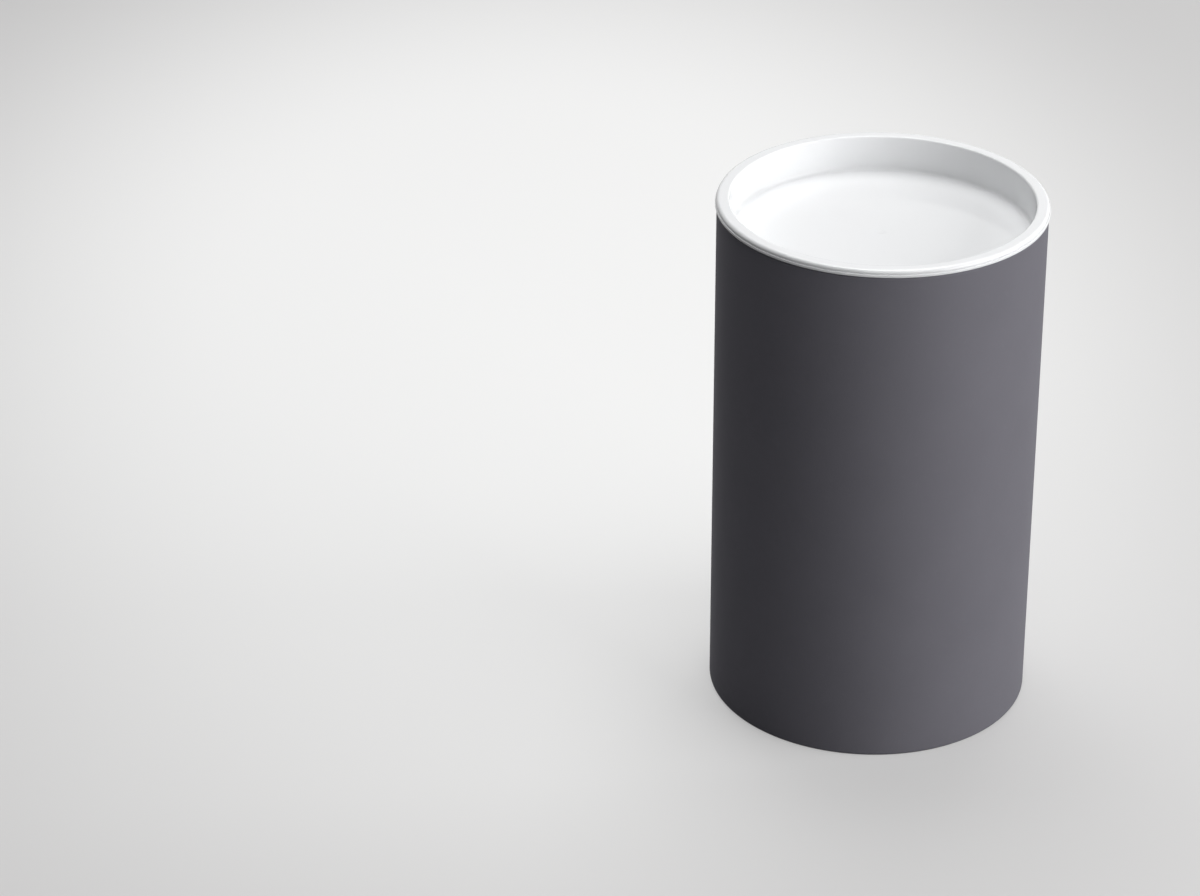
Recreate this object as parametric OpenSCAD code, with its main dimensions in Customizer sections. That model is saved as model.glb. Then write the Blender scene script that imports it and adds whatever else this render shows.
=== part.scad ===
// Cylindrical gift tube box, closed with a plastic plug lid.
// The tube stands on the plane z = 0 around the Z axis, and its front looks towards -Y.
// A spiral-wound board tube is lined with white paper, closed below with a board disc,
// wrapped in dark paper that is turned in over both ends, and plugged with one moulded lid.

/* [Tube] */
// Outside diameter of the wrapped tube
tube_od = 87; // [60:0.5:140]
// Height of the tube from the floor to its rim
tube_h = 143; // [80:1:260]
// Thickness of the wound board wall
board_wall = 1.7; // [1:0.1:3]
// Radius to which the wall's cut edges are rolled
edge_roll = 0.8; // [0.2:0.05:1]

/* [Papers] */
// Thickness of the dark wrapping paper
wrap_t = 0.15; // [0.08:0.01:0.3]
// Thickness of the white lining paper
lining_t = 0.15; // [0.08:0.01:0.3]
// Depth of the wrap's turned-in band inside the rim
rim_turn = 4.5; // [2:0.5:15]
// Width of the wrap's margin that is glued under the base board
base_turn = 8; // [4:0.5:20]
// Width of the wrap's lap seam at the back
lap_w = 8; // [4:0.5:20]

/* [Base] */
// Thickness of the base board
base_t = 2; // [1:0.1:4]
// Height of the hollow under the base, from the floor to the covering sheet
base_lift = 1.6; // [1:0.1:6]
// Gap between the covering sheet's edge and the tube's foot
cover_gap = 0.8; // [0.3:0.1:3]

/* [Lid] */
// Overhang of the lid's flange past the wrap, on the radius
flange_over = 0.4; // [0.3:0.05:2]
// Thickness of the flange
flange_t = 1.9; // [1.4:0.1:4]
// Height of the lip below the step in the flange's edge
lip_h = 0.8; // [0.4:0.05:1]
// Depth of the step in the flange's edge
lip_step = 0.2; // [0.1:0.05:0.4]
// Length of the plug below the rim
plug_l = 8.9; // [6:0.1:30]
// Clearance between the plug and the turned-in band, on the radius
plug_gap = 0.1; // [0.05:0.01:0.3]
// Rounding of the plug's lower edge
plug_nose = 1; // [0.3:0.1:2]
// Thickness of the plug's wall at the mouth of the recess
plug_wall = 1.1; // [0.8:0.05:2.5]
// Thickness of the lid's floor
lid_floor = 1.2; // [0.8:0.05:3]
// Draft of the recess wall, by which its foot is narrower than its mouth, on the radius
recess_draft = 0.15; // [0:0.05:0.6]
// Rounding of the recess mouth
mouth_round = 0.5; // [0.2:0.05:1]
// Fillet between the recess wall and the lid's floor
foot_fillet = 0.9; // [0.3:0.1:3]
// Radius of the dimple that the mould's gate leaves in the middle of the floor
gate_r = 1.4; // [0.8:0.1:3]
// Depth of the gate dimple
gate_d = 0.25; // [0.1:0.05:0.5]

/* [Hidden] */
$fn = 96;

// Radii of the tube's layers, from the outside in
wrap_or = tube_od / 2;
board_or = wrap_or - wrap_t;
board_ir = board_or - board_wall;
clear_r = board_ir - lining_t;
band_ir = clear_r - wrap_t;

// The lined board wall stands inside the wrap, with its corners rolled round
wall_z0 = wrap_t;
wall_z1 = tube_h - wrap_t;
roll_r = min(edge_roll, board_wall / 2);

// Heights of the base's layers: covering sheet, turned margin, board, white disc
sheet_z = base_lift;
margin_z = sheet_z + wrap_t;
base_z = margin_z + wrap_t;
disc_z = base_z + base_t;
margin_ir = band_ir - base_turn;
cover_r = band_ir - cover_gap;

// Lid
flange_r = wrap_or + flange_over;
crown_r = flange_r - lip_step;
crown_round = flange_t - lip_h;
plug_r = band_ir - plug_gap;
mouth_r = plug_r - plug_wall;
foot_r = mouth_r - recess_draft;
plug_z = tube_h - plug_l;
floor_z = plug_z + lid_floor;
flange_z = tube_h + flange_t;
gate_ball_r = (gate_r * gate_r + gate_d * gate_d) / (2 * gate_d);
gate_pip_r = gate_r / 3;
gate_pip_h = gate_d / 2;

paper_dark = [0.24, 0.24, 0.26];
paper_white = [0.93, 0.93, 0.92];
board_grey = [0.56, 0.52, 0.46];
plastic_white = [0.92, 0.92, 0.93];

// Rectangle between two radii and two heights
module ring_section(r0, z0, r1, z1) {
    translate([r0, z0]) square([r1 - r0, z1 - z0]);
}

// The same rectangle with four round corners
module rolled_section(r0, z0, r1, z1, corner) {
    ring_section(r0 + corner, z0, r1 - corner, z1);
    ring_section(r0, z0 + corner, r1, z1 - corner);
    for (r = [r0 + corner, r1 - corner], z = [z0 + corner, z1 - corner])
        translate([r, z]) circle(corner);
}

// Section of the lined board wall
module wall_section() {
    rolled_section(clear_r, wall_z0, board_or, wall_z1, roll_r);
}

// Spiral-wound grey board, glued up as one tube
module tube_board() {
    color(board_grey) rotate_extrude() intersection() {
        wall_section();
        ring_section(board_ir, 0, board_or, tube_h);
    }
}

// White paper glued to the inside of the board from end to end
module tube_lining() {
    color(paper_white) rotate_extrude() intersection() {
        wall_section();
        ring_section(clear_r, 0, board_ir, tube_h);
    }
}

// Board disc pressed into the lined tube
module base_board() {
    color(board_grey) translate([0, 0, base_z]) cylinder(r = clear_r, h = base_t);
}

// White paper disc on top of the base board
module base_lining() {
    color(paper_white) translate([0, 0, disc_z]) cylinder(r = clear_r, h = lining_t);
}

// Dark paper: up the outside, over the rim and down inside it,
// under the foot, up to the base board and in under it as a margin
module outer_wrap() {
    lap_angle = lap_w / wrap_or * 180 / PI;
    lap_end = roll_r + wrap_t;
    color(paper_dark) {
        rotate_extrude() {
            difference() {
                rolled_section(band_ir, 0, wrap_or, tube_h, roll_r + wrap_t);
                wall_section();
                ring_section(0, margin_z, clear_r, tube_h - rim_turn);
            }
            ring_section(margin_ir, margin_z, clear_r, base_z);
        }
        rotate([0, 0, 90 - lap_angle / 2])
            rotate_extrude(angle = lap_angle)
                ring_section(board_or, lap_end, wrap_or + wrap_t, tube_h - lap_end);
    }
}

// Dark sheet glued under the base, over the edge of the wrap's margin
module base_cover() {
    color(paper_dark) rotate_extrude() {
        ring_section(0, margin_z, margin_ir, base_z);
        ring_section(margin_ir - wrap_t, sheet_z, margin_ir, base_z);
        ring_section(margin_ir - wrap_t, sheet_z, cover_r, margin_z);
    }
}

// Rounded section of the flange: a thin lip below, and a crown that is set back by a small step
module flange_section() {
    ring_section(mouth_r, tube_h, flange_r, tube_h + lip_h);
    difference() {
        ring_section(mouth_r, tube_h, crown_r, flange_z);
        difference() {
            ring_section(crown_r - crown_round, flange_z - crown_round, crown_r, flange_z);
            translate([crown_r - crown_round, flange_z - crown_round]) circle(crown_round);
        }
        difference() {
            ring_section(mouth_r, flange_z - mouth_round, mouth_r + mouth_round, flange_z);
            translate([mouth_r + mouth_round, flange_z - mouth_round]) circle(mouth_round);
        }
    }
}

// Section of the cup that plugs the tube, with a drafted recess
module plug_section() {
    difference() {
        ring_section(0, plug_z, plug_r, tube_h);
        difference() {
            ring_section(plug_r - plug_nose, plug_z, plug_r, plug_z + plug_nose);
            translate([plug_r - plug_nose, plug_z + plug_nose]) circle(plug_nose);
        }
        polygon([[0, floor_z], [foot_r, floor_z], [mouth_r, tube_h], [0, tube_h]]);
    }
    difference() {
        ring_section(foot_r - foot_fillet, floor_z, foot_r, floor_z + foot_fillet);
        translate([foot_r - foot_fillet, floor_z + foot_fillet]) circle(foot_fillet);
    }
}

// One white moulding: flange, plug wall and floor, with the gate's dimple and pip
module lid() {
    color(plastic_white) {
        difference() {
            rotate_extrude() {
                flange_section();
                plug_section();
            }
            translate([0, 0, floor_z - gate_d + gate_ball_r]) sphere(gate_ball_r);
        }
        translate([0, 0, floor_z - gate_d - gate_pip_h]) cylinder(r = gate_pip_r, h = 2 * gate_pip_h);
    }
}

tube_board();
tube_lining();
base_board();
base_lining();
outer_wrap();
base_cover();
lid();
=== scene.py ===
import math

import bmesh
import bpy
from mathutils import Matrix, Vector


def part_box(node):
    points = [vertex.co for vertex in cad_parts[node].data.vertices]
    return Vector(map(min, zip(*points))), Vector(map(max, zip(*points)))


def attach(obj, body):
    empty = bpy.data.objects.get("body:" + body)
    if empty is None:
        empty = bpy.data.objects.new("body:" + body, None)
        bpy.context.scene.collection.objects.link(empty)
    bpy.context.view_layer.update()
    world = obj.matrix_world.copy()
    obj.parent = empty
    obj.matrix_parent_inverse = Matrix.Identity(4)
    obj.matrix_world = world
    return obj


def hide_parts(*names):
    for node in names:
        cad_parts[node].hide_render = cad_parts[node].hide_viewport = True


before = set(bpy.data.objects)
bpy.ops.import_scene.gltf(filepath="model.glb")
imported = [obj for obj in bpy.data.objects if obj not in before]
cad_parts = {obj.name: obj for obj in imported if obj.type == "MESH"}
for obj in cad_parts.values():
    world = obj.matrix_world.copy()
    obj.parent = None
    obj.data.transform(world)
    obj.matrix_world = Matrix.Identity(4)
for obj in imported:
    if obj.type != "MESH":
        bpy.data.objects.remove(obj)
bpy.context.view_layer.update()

MM = 0.001


# The body is a tube of grey board, wound from strips in a spiral and glued.
# A disc of the same board closes it below. The strips' joints show as fine slanting lines,
# and recycled fibre speckles the board.
def set_input(tree, socket, value):
    """Links an input to another socket, or gives it a plain value."""
    if isinstance(value, bpy.types.NodeSocket):
        tree.links.new(value, socket)
    else:
        socket.default_value = value


def node(tree, kind, inputs=None, **settings):
    """Adds a shader node, sets its options and fills its inputs with values or links."""
    made = tree.nodes.new(kind)
    for name, value in settings.items():
        setattr(made, name, value)
    for name, value in (inputs or {}).items():
        set_input(tree, made.inputs[name], value)
    return made


def maths(tree, operation, *values):
    """Adds a Math node on numbers or sockets and returns its result."""
    return node(tree, "ShaderNodeMath", dict(enumerate(values)), operation=operation).outputs[0]


def noise(tree, place, scale, detail, roughness=0.5):
    """Adds a soft noise of so many waves per metre."""
    return node(tree, "ShaderNodeTexNoise",
                {"Vector": place, "Scale": scale, "Detail": detail, "Roughness": roughness})


def fade(tree, value, start, end, low=0.0, high=1.0, curve="LINEAR"):
    """Turns a value's way from start to end into one from low to high, and returns the result."""
    spans = {"Value": value, "From Min": start, "From Max": end, "To Min": low, "To Max": high}
    return node(tree, "ShaderNodeMapRange", spans, interpolation_type=curve).outputs[0]


def mix_colour(tree, amount, low, high):
    """Mixes two colours by a mask and returns the result."""
    # The colour sockets share their names with others, so they are reached by number.
    factor, colour_a, colour_b, result = 0, 6, 7, 2
    inputs = {factor: amount, colour_a: low, colour_b: high}
    return node(tree, "ShaderNodeMix", inputs, data_type="RGBA").outputs[result]


def fibre_group():
    """Matted fibres of paper and board: a height for the bump and a mask of single pale or dark fibres."""
    stir = 0.9 * MM
    thread_w = 0.12
    thread_rise = 0.35
    patch_share = 0.35
    patch_from = 0.56
    patch_to = 0.7
    tree = bpy.data.node_groups.new("matted_fibre", "ShaderNodeTree")
    tree.interface.new_socket(name="Vector", in_out="INPUT", socket_type="NodeSocketVector")
    tree.interface.new_socket(name="Fibres per metre", in_out="INPUT", socket_type="NodeSocketFloat")
    tree.interface.new_socket(name="Height", in_out="OUTPUT", socket_type="NodeSocketFloat")
    tree.interface.new_socket(name="Flecks", in_out="OUTPUT", socket_type="NodeSocketFloat")
    start = node(tree, "NodeGroupInput")
    end = node(tree, "NodeGroupOutput")
    here = start.outputs["Vector"]
    density = start.outputs["Fibres per metre"]
    felt = noise(tree, here, density, detail=5.0, roughness=0.65)
    bent = node(tree, "ShaderNodeVectorMath", {0: felt.outputs["Color"], 1: (stir, stir, stir)},
                operation="MULTIPLY")
    stirred = node(tree, "ShaderNodeVectorMath", {0: here, 1: bent.outputs[0]}, operation="ADD")
    cells = node(tree, "ShaderNodeTexVoronoi", {"Vector": stirred.outputs[0], "Scale": density},
                 feature="DISTANCE_TO_EDGE")
    threads = fade(tree, cells.outputs["Distance"], 0.0, thread_w, low=1.0, high=0.0)
    patches = noise(tree, here, maths(tree, "MULTIPLY", density, patch_share), detail=2.0)
    kept = fade(tree, patches.outputs["Fac"], patch_from, patch_to)
    raised = maths(tree, "MULTIPLY", threads, thread_rise)
    set_input(tree, end.inputs["Height"], maths(tree, "ADD", felt.outputs["Fac"], raised))
    set_input(tree, end.inputs["Flecks"], maths(tree, "MULTIPLY", threads, kept))
    return tree


def place_fibres(tree, coords, density):
    """Places the fibre group in a material, with that material's number of fibres per metre."""
    return node(tree, "ShaderNodeGroup", {"Vector": coords, "Fibres per metre": density},
                node_tree=matted_fibre)


def new_material(name):
    """Starts a material and returns it with its tree, its shader and its object coordinates."""
    made = bpy.data.materials.new(name)
    made.use_nodes = True
    tree = made.node_tree
    return made, tree, tree.nodes["Principled BSDF"], node(tree, "ShaderNodeTexCoord").outputs["Object"]


def emboss(tree, shader, height, strength, depth):
    """Gives a material's surface the relief of a height."""
    bump = node(tree, "ShaderNodeBump", {"Height": height, "Strength": strength, "Distance": depth})
    set_input(tree, shader.inputs["Normal"], bump.outputs["Normal"])


matted_fibre = fibre_group()
board_dark = (0.34, 0.29, 0.23, 1)
board_light = (0.50, 0.45, 0.38, 1)
board_fleck = (0.16, 0.14, 0.12, 1)
joint_dark = (0.13, 0.10, 0.08, 1)
strip_rise = 85 * MM
strip_half = 0.5
joint_soft = 0.005
joint_core = 0.0005
joint_sink = 2.0
board_material, tree, shader, coords = new_material("grey_board")
axes = node(tree, "ShaderNodeSeparateXYZ", {0: coords})
turns_up = maths(tree, "DIVIDE", axes.outputs["Z"], strip_rise)
turns_round = maths(tree, "DIVIDE", maths(tree, "ARCTAN2", axes.outputs["Y"], axes.outputs["X"]), 2 * math.pi)
winding = maths(tree, "FRACT", maths(tree, "ADD", turns_up, turns_round))
across_strip = maths(tree, "ABSOLUTE", maths(tree, "SUBTRACT", winding, strip_half))
joint_line = fade(tree, across_strip, strip_half - joint_soft, strip_half - joint_core)
fibres = place_fibres(tree, coords, density=700.0)
blotches = noise(tree, coords, scale=60.0, detail=4.0)
board_tone = mix_colour(tree, blotches.outputs["Fac"], board_dark, board_light)
board_tone = mix_colour(tree, fibres.outputs["Flecks"], board_tone, board_fleck)
board_tone = mix_colour(tree, joint_line, board_tone, joint_dark)
set_input(tree, shader.inputs["Base Color"], board_tone)
shader.inputs["Roughness"].default_value = 0.92
sunk_joint = maths(tree, "MULTIPLY", joint_line, joint_sink)
relief = maths(tree, "SUBTRACT", fibres.outputs["Height"], sunk_joint)
emboss(tree, shader, relief, strength=0.6, depth=0.12 * MM)
for name in ("tube_board", "base_board"):
    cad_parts[name].data.materials.clear()
    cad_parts[name].data.materials.append(board_material)


# The inside is lined with smooth white paper, glued to the board from end to end.
# Its upper edge runs on up behind the wrap's turned-in band, so only the band's edge shows.
def pick(kind, test):
    """Selects the points or faces in edit mode whose place and normal pass the test, and counts them."""
    bpy.ops.mesh.select_mode(type=kind)
    bpy.ops.mesh.select_all(action="DESELECT")
    mesh = bmesh.from_edit_mesh(bpy.context.edit_object.data)
    if kind == "VERT":
        chosen = [v for v in mesh.verts if test(v.co, v.normal)]
    else:
        chosen = [f for f in mesh.faces if test(f.calc_center_median(), f.normal)]
    for part in chosen:
        part.select_set(True)
    mesh.select_flush_mode()
    bmesh.update_edit_mesh(bpy.context.edit_object.data)
    return len(chosen)


def path_through(corners):
    """Adds a point just before and after each rounded corner, so that the flats beside it stay flat."""
    margin = 0.08 * MM
    path = []
    for place, (r, z, rounding) in enumerate(corners):
        corner = Vector((r, z))
        reach = rounding + margin
        stops = {place: corner}
        for other in (place - 1, place + 1):
            if rounding and 0 <= other < len(corners):
                way = Vector(corners[other][:2]) - corner
                if way.length > reach + corners[other][2] + margin:
                    stops[other] = corner + way.normalized() * reach
        path += [stops[stop] for stop in sorted(stops)]
    return path


def turn_piece(name, corners):
    """Draws half of a round piece's section through corners of (radius, height, rounding), and spins it."""
    columns = 256
    arc_steps = 8
    near = 0.005 * MM
    weld = 0.002 * MM
    bpy.ops.object.select_all(action="DESELECT")
    path = path_through(corners)
    bpy.ops.mesh.primitive_plane_add(size=MM, location=(path[0].x, 0, path[0].y))
    made = bpy.context.active_object
    made.name = name
    bpy.ops.object.transform_apply(location=True, rotation=True, scale=True)
    bpy.ops.object.mode_set(mode="EDIT")
    bpy.ops.mesh.select_mode(type="VERT")
    bpy.ops.mesh.select_all(action="SELECT")
    bpy.ops.mesh.merge(type="CENTER")
    for here, there in zip(path, path[1:]):
        step = (there.x - here.x, 0, there.y - here.y)
        bpy.ops.mesh.extrude_region_move(TRANSFORM_OT_translate={"value": step})
    for r, z, rounding in corners:
        if rounding:
            corner = Vector((r, 0, z))
            pick("VERT", lambda place, normal: (place - corner).length < near)
            bpy.ops.mesh.bevel(offset=rounding, segments=arc_steps, profile=0.5, affect="VERTICES")
    bpy.ops.mesh.select_all(action="SELECT")
    bpy.ops.mesh.spin(steps=columns, angle=2 * math.pi, center=(0, 0, 0), axis=(0, 0, 1))
    bpy.ops.mesh.select_all(action="SELECT")
    bpy.ops.mesh.remove_doubles(threshold=weld)
    bpy.ops.mesh.normals_make_consistent(inside=False)
    return made


def finish_mesh(piece, material):
    """Leaves edit mode, smooths the piece except at its sharp edges and gives it its material."""
    sharp_edge = math.radians(35)
    bpy.ops.object.mode_set(mode="OBJECT")
    bpy.ops.object.select_all(action="DESELECT")
    piece.select_set(True)
    bpy.context.view_layer.objects.active = piece
    bpy.ops.object.shade_smooth_by_angle(angle=sharp_edge)
    piece.data.materials.append(material)


lining_low, lining_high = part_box("tube_lining")
disc_low, disc_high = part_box("base_lining")
paper_t = disc_high.z - disc_low.z
board_inside_r = lining_high.x
lining_r = board_inside_r - paper_t
white_dark = (0.815, 0.815, 0.82, 1)
white_light = (0.865, 0.865, 0.87, 1)
white_fibre_share = 0.3
lining_material, tree, shader, coords = new_material("white_paper")
fibres = place_fibres(tree, coords, density=1400.0)
cloud = noise(tree, coords, scale=40.0, detail=3.0)
white_tone = mix_colour(tree, cloud.outputs["Fac"], white_dark, white_light)
set_input(tree, shader.inputs["Base Color"], white_tone)
shader.inputs["Roughness"].default_value = 0.6
shader.inputs["Specular IOR Level"].default_value = 0.3
fine_relief = maths(tree, "MULTIPLY", fibres.outputs["Height"], white_fibre_share)
relief = maths(tree, "ADD", fine_relief, cloud.outputs["Fac"])
emboss(tree, shader, relief, strength=0.4, depth=0.1 * MM)

lining = turn_piece("lining_paper", [
    (lining_r, lining_low.z, 0), (lining_r, lining_high.z, 0),
    (board_inside_r, lining_high.z, 0), (board_inside_r, lining_low.z, 0), (lining_r, lining_low.z, 0)])
finish_mesh(lining, lining_material)
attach(lining, "tube")
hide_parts("tube_lining")


# A disc of the same white paper covers the base board inside. It was punched out,
# so its edge stands up by a hair where it meets the lining.
edge_lift = 0.06 * MM
edge_w = 0.5 * MM
flat_z = disc_high.z - edge_lift
base_disc = turn_piece("base_lining_disc", [
    (0, disc_low.z, 0), (lining_r, disc_low.z, 0), (lining_r, disc_high.z, 0),
    (lining_r - edge_w, flat_z, 0), (0, flat_z, 0)])
finish_mesh(base_disc, lining_material)
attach(base_disc, "tube")
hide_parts("base_lining")


# The wrap is one sheet of dark grey paper glued round the tube, turned in over the rim and under the foot.
# Its ends lap at the back, where the outer end's cut edge shows as a fine pale line. At the top, the bottom
# and the other side, the raised strip is pressed down until it is all but flush.
wrap_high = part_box("outer_wrap")[1]
board_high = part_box("tube_board")[1]
cover_low, cover_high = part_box("base_cover")
wrap_r = wrap_high.x
rim_z = wrap_high.z
sheet_t = wrap_r - board_high.x
# The visible sheet is a little thinner than its solid, so that it doesn't share a plane with the board.
glued_t = 0.96 * sheet_t
band_r = lining_r - sheet_t
band_depth = 4.5 * MM
board_round = 0.8 * MM
roll_r = board_round + sheet_t
margin_w = 8 * MM
margin_r = band_r - margin_w
margin_z = cover_low.z + sheet_t
lap_w = 8 * MM
lap_half = lap_w / 2 / wrap_r
lap_fade = 2.5 * MM
lap_gap = 0.3 * MM
lap_low = roll_r + lap_gap
lap_high = rim_z - lap_low
press_angle = 0.02
pressed_rise = 0.004 * MM
near = 0.02 * MM
wrap_dark = (0.160, 0.156, 0.178, 1)
wrap_light = (0.184, 0.179, 0.203, 1)
wrap_fleck = (0.20, 0.197, 0.215, 1)
cut_pale = (0.42, 0.42, 0.43, 1)
cut_x = wrap_r * math.sin(lap_half)
cut_core = 0.05 * MM
cut_soft = 0.12 * MM
back_y = 0.9 * wrap_r
fleck_share = 0.3
cut_share = 0.55
wrap_fibre_share = 0.15
wrap_material, tree, shader, coords = new_material("dark_paper")
fibres = place_fibres(tree, coords, density=1500.0)
cloud = noise(tree, coords, scale=45.0, detail=5.0, roughness=0.55)
print_tone = mix_colour(tree, cloud.outputs["Fac"], wrap_dark, wrap_light)
faint_flecks = maths(tree, "MULTIPLY", fibres.outputs["Flecks"], fleck_share)
print_tone = mix_colour(tree, faint_flecks, print_tone, wrap_fleck)
axes = node(tree, "ShaderNodeSeparateXYZ", {0: coords})
from_cut = maths(tree, "ABSOLUTE", maths(tree, "SUBTRACT", axes.outputs["X"], cut_x))
on_cut = fade(tree, from_cut, cut_core, cut_soft, low=1.0, high=0.0)
at_back = maths(tree, "GREATER_THAN", axes.outputs["Y"], back_y)
faint_cut = maths(tree, "MULTIPLY", maths(tree, "MULTIPLY", on_cut, at_back), cut_share)
print_tone = mix_colour(tree, faint_cut, print_tone, cut_pale)
set_input(tree, shader.inputs["Base Color"], print_tone)
shader.inputs["Roughness"].default_value = 0.68
shader.inputs["Specular IOR Level"].default_value = 0.1
fine_relief = maths(tree, "MULTIPLY", fibres.outputs["Height"], wrap_fibre_share)
relief = maths(tree, "ADD", fine_relief, cloud.outputs["Fac"])
emboss(tree, shader, relief, strength=0.5, depth=0.2 * MM)


def outward(place, normal):
    """Tells whether a normal points away from the tube's axis."""
    return normal.xy.dot(place.xy) > 0


def past_back(place):
    """Measures the angle of a place from the middle of the lap at the back."""
    return math.atan2(place.y, place.x) - math.pi / 2


def on_lap(place, normal):
    """Tells whether a face of the outer wall lies under the lap's outer end."""
    return (place.xy.length > wrap_r - near and outward(place, normal) and
            lap_low < place.z < lap_high and abs(past_back(place)) < lap_half)


def pressed(place, normal):
    """Tells whether a point of the raised lap lies where it is pressed down."""
    at_end = place.z > lap_high - near or place.z < lap_low + near
    return place.xy.length > wrap_r + 0.5 * sheet_t and (
        at_end or past_back(place) > lap_half - press_angle)


wrap = turn_piece("wrap_paper", [
    (band_r, rim_z - band_depth, 0), (band_r, rim_z, roll_r), (wrap_r, rim_z, roll_r),
    (wrap_r, lap_high, 0), (wrap_r, lap_high - lap_fade, 0),
    (wrap_r, lap_low + lap_fade, 0), (wrap_r, lap_low, 0),
    (wrap_r, 0, roll_r), (band_r, 0, roll_r), (band_r, margin_z, 0), (margin_r, margin_z, 0)])
if pick("FACE", lambda place, normal: place.xy.length > wrap_r - near and not outward(place, normal)):
    bpy.ops.mesh.select_all(action="SELECT")
    bpy.ops.mesh.flip_normals()
bpy.ops.object.mode_set(mode="OBJECT")
bpy.context.view_layer.objects.active = wrap
paper = wrap.modifiers.new("paper", "SOLIDIFY")
paper.thickness = glued_t
paper.offset = -1.0
bpy.ops.object.modifier_apply(modifier=paper.name)
bpy.ops.object.mode_set(mode="EDIT")
pick("FACE", on_lap)
bpy.ops.mesh.extrude_region_shrink_fatten(TRANSFORM_OT_shrink_fatten={"value": sheet_t})
pick("VERT", pressed)
flush = (wrap_r + pressed_rise) / (wrap_r + sheet_t)
bpy.ops.transform.resize(value=(flush, flush, 1.0), center_override=(0, 0, 0))
finish_mesh(wrap, wrap_material)
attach(wrap, "tube")
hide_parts("outer_wrap")


# A disc of the same dark paper is glued under the base, over the wrap's margin,
# whose inner edge shows through it as a low round step.
cover_r = cover_high.x
cover_top = cover_low.z + glued_t
step_w = 0.5 * MM
step_r = margin_r - step_w
step_round = 0.15 * MM
cover = turn_piece("base_cover_sheet", [
    (0, margin_z, 0), (step_r, margin_z, step_round), (margin_r, cover_low.z, step_round),
    (cover_r, cover_low.z, 0), (cover_r, cover_top, 0), (margin_r, cover_top, 0),
    (step_r, cover_high.z, 0), (0, cover_high.z, 0)])
finish_mesh(cover, wrap_material)
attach(cover, "tube")
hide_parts("base_cover")


# The lid is one glossy white moulding: a plug that fits the tube's mouth, a flange that rests on the rim
# with a fine groove round its edge, and a recessed floor with the soft dimple of the mould's gate.
lid_low, lid_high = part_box("lid")
flange_r = lid_high.x
top_z = lid_high.z
plug_z = lid_low.z
floor_t = 1.2 * MM
floor_z = plug_z + floor_t
plug_gap = 0.1 * MM
plug_wall = 1.1 * MM
recess_draft = 0.15 * MM
plug_r = band_r - plug_gap
mouth_r = plug_r - plug_wall
foot_r = mouth_r - recess_draft
crown_step = 0.2 * MM
crown_r = flange_r - crown_step
groove_depth = 0.12 * MM
groove_r = crown_r - groove_depth
lip_h = 0.8 * MM
groove_z = rim_z + lip_h
groove_under = 0.12 * MM
groove_over = 0.1 * MM
nose_round = 1.0 * MM
lip_under = 0.15 * MM
lip_over = 0.2 * MM
crown_round = 0.95 * MM
mouth_round = 0.5 * MM
foot_fillet = 0.9 * MM
gate_r = 1.6 * MM
gate_bowl = [(1.0, 0.0), (0.75, 0.02 * MM), (0.45, 0.09 * MM), (0.2, 0.12 * MM), (0.0, 0.12 * MM)]
plastic_dark = (0.855, 0.862, 0.872, 1)
plastic_light = (0.868, 0.874, 0.882, 1)
lid_material, tree, shader, coords = new_material("white_plastic")
flow = noise(tree, coords, scale=70.0, detail=1.5)
plastic_tone = mix_colour(tree, flow.outputs["Fac"], plastic_dark, plastic_light)
set_input(tree, shader.inputs["Base Color"], plastic_tone)
shader.inputs["Roughness"].default_value = 0.09
shader.inputs["IOR"].default_value = 1.5
emboss(tree, shader, flow.outputs["Fac"], strength=0.1, depth=0.06 * MM)

lid_section = [
    (0, plug_z, 0), (plug_r, plug_z, nose_round), (plug_r, rim_z, 0),
    (flange_r, rim_z, lip_under), (flange_r, groove_z - groove_under, lip_over), (groove_r, groove_z, 0),
    (crown_r, groove_z + groove_over, 0), (crown_r, top_z, crown_round), (mouth_r, top_z, mouth_round),
    (foot_r, floor_z, foot_fillet)]
lid_section += [(share * gate_r, floor_z - depth, 0) for share, depth in gate_bowl]
lid = turn_piece("plug_lid", lid_section)
finish_mesh(lid, lid_material)
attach(lid, "lid")
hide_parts("lid")


# The camera stands where the photograph was taken from: 0.96 m in front, 0.59 m up and a little to the left,
# so the tube stands right of the middle of the frame.
camera_place = (-0.07403, -0.96113, 0.58766)
camera_pitch = 28.271
bpy.ops.object.camera_add(location=camera_place, rotation=(math.radians(90 - camera_pitch), 0, 0))
camera = bpy.context.active_object
camera.name = "photo_camera"
camera.data.lens = 121.065
camera.data.sensor_width = 36.0
camera.data.clip_start = 0.01
bpy.context.scene.camera = camera


# The floor is a plain pale sheet. It glows in an oval pool of light, which falls off softly towards
# the frame's corners, and further off it takes the tone of the wall. The object gets the light of a
# darker floor, so that its dark sides stay dark.
def seen_rays(tree):
    """Returns 1 for the camera's rays and for those that gloss or glass sends on, and 0 for others."""
    rays = node(tree, "ShaderNodeLightPath")
    sent_on = maths(tree, "MAXIMUM", rays.outputs["Is Glossy Ray"], rays.outputs["Is Transmission Ray"])
    return maths(tree, "MAXIMUM", rays.outputs["Is Camera Ray"], sent_on)


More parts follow.
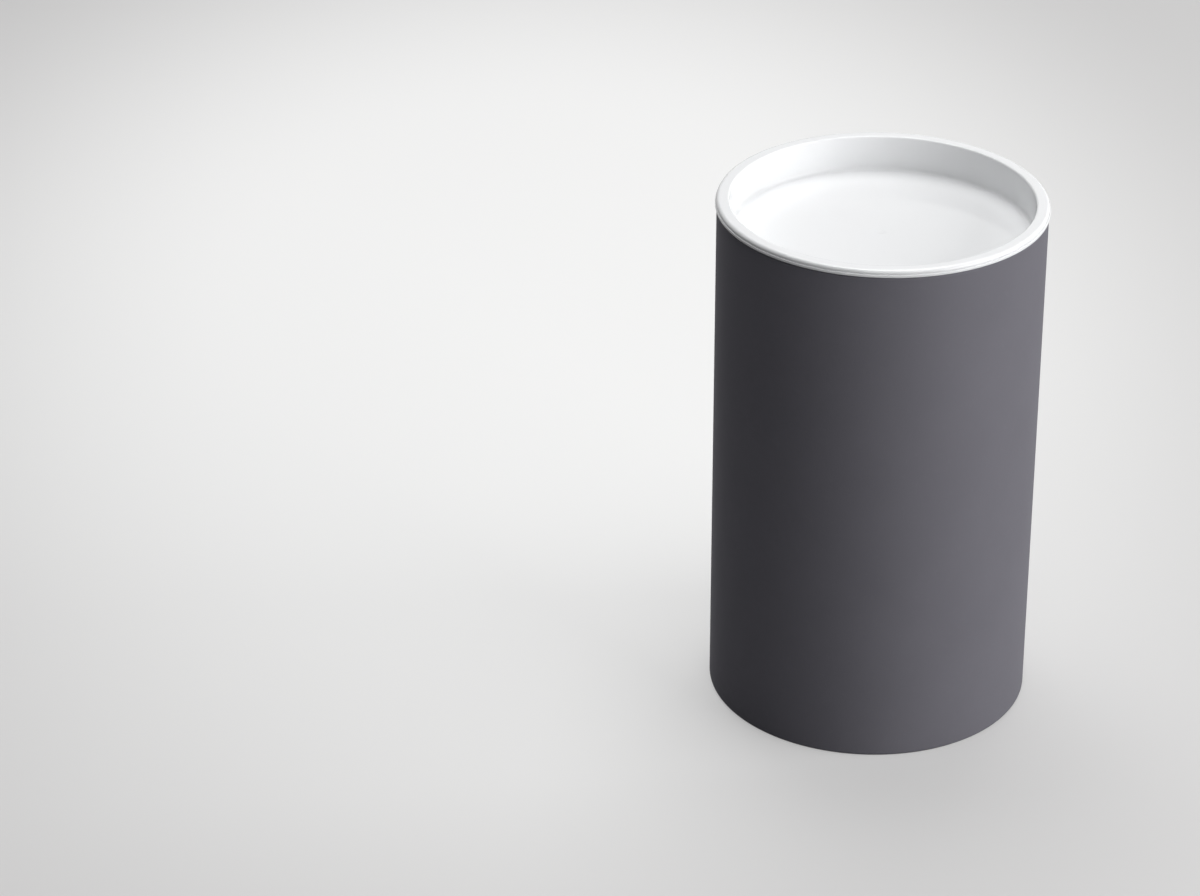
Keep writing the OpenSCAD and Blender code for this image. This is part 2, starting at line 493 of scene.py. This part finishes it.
floor_size = 6.0
floor_bounce = (0.22, 0.22, 0.23, 1)
floor_white = (0.91, 0.91, 0.90, 1)
pool_white = (1.0, 1.0, 1.0, 1)
pool_grey = (0.46, 0.45, 0.455, 1)
wall_grey = (0.66, 0.645, 0.65, 1)
pool_x = -0.1
pool_y = 0.25
pool_scale_x = 3.5
pool_scale_y = 2.2
pool_place = (-pool_x * pool_scale_x, -pool_y * pool_scale_y, 0.0)
pool_from = 0.3
pool_to = 1.0
wall_from = 1.2
wall_to = 3.0
near_glow = 0.5
bpy.ops.object.select_all(action="DESELECT")
bpy.ops.mesh.primitive_plane_add(size=floor_size, location=(0, 0, 0))
floor = bpy.context.active_object
floor.name = "floor_sheet"
floor_material, tree, shader, coords = new_material("floor_paint")
shader.inputs["Base Color"].default_value = floor_bounce
shader.inputs["Roughness"].default_value = 0.9
shader.inputs["Specular IOR Level"].default_value = 0.0
oval = node(tree, "ShaderNodeMapping",
            {"Vector": coords, "Location": pool_place, "Scale": (pool_scale_x, pool_scale_y, 1.0)})
away = node(tree, "ShaderNodeVectorMath", {0: oval.outputs[0]}, operation="LENGTH").outputs["Value"]
shade = fade(tree, away, pool_from, pool_to, curve="SMOOTHSTEP")
far = fade(tree, away, wall_from, wall_to, curve="SMOOTHSTEP")
glow = mix_colour(tree, shade, pool_white, pool_grey)
glow = mix_colour(tree, far, glow, wall_grey)
glowing = node(tree, "ShaderNodeEmission", {"Color": glow, "Strength": 1.0})
painted = node(tree, "ShaderNodeBsdfDiffuse", {"Color": floor_white})
glow_share = fade(tree, far, 0.0, 1.0, low=near_glow, high=1.0)
lit = node(tree, "ShaderNodeMixShader", {0: glow_share, 1: painted.outputs[0], 2: glowing.outputs[0]})
blend = node(tree, "ShaderNodeMixShader", {0: seen_rays(tree), 1: shader.outputs[0], 2: lit.outputs[0]})
set_input(tree, tree.nodes["Material Output"].inputs["Surface"], blend.outputs[0])
floor.data.materials.append(floor_material)


# A broad softbox stands low on the right, two hang overhead, and a weak one fills from the front.
# The room behind is pale, and lighter higher up, which the lid's gloss shows.
def softbox(name, place, width, height, power):
    """Adds a rectangular area light at a place, aimed at the tube above its middle."""
    target = Vector((0, 0, 0.10))
    bpy.ops.object.light_add(type="AREA", location=place)
    made = bpy.context.active_object
    made.name = name
    made.data.shape = "RECTANGLE"
    made.data.size = width
    made.data.size_y = height
    made.data.energy = power
    aim = target - Vector(place)
    made.rotation_euler = aim.to_track_quat("-Z", "Y").to_euler()


room_light = (0.90, 0.94, 1.0, 1)
wall_white = (0.97, 0.98, 0.98, 1)
wall_top = 0.4
world = bpy.data.worlds.new("studio")
bpy.context.scene.world = world
world.use_nodes = True
tree = world.node_tree
room = tree.nodes["Background"]
room.inputs["Color"].default_value = room_light
room.inputs["Strength"].default_value = 0.02
skyward = node(tree, "ShaderNodeSeparateXYZ", {0: node(tree, "ShaderNodeTexCoord").outputs["Generated"]})
rise = fade(tree, skyward.outputs["Z"], 0.0, wall_top, curve="SMOOTHSTEP")
wall = node(tree, "ShaderNodeBackground",
            {"Color": mix_colour(tree, rise, wall_grey, wall_white), "Strength": 1.0})
blend = node(tree, "ShaderNodeMixShader", {0: seen_rays(tree), 1: room.outputs[0], 2: wall.outputs[0]})
set_input(tree, tree.nodes["World Output"].inputs["Surface"], blend.outputs[0])
softbox("key_softbox", (0.95, -0.42, 0.40), width=1.1, height=0.6, power=11.4)
softbox("top_softbox", (0.0, 0.0, 1.4), width=0.7, height=0.7, power=3.2)
softbox("back_softbox", (0.0, 0.5, 1.3), width=0.8, height=0.8, power=9.6)
softbox("front_softbox", (0.1, -1.0, 1.1), width=0.8, height=0.8, power=2.8)

bpy.context.scene.view_settings.view_transform = "Standard"
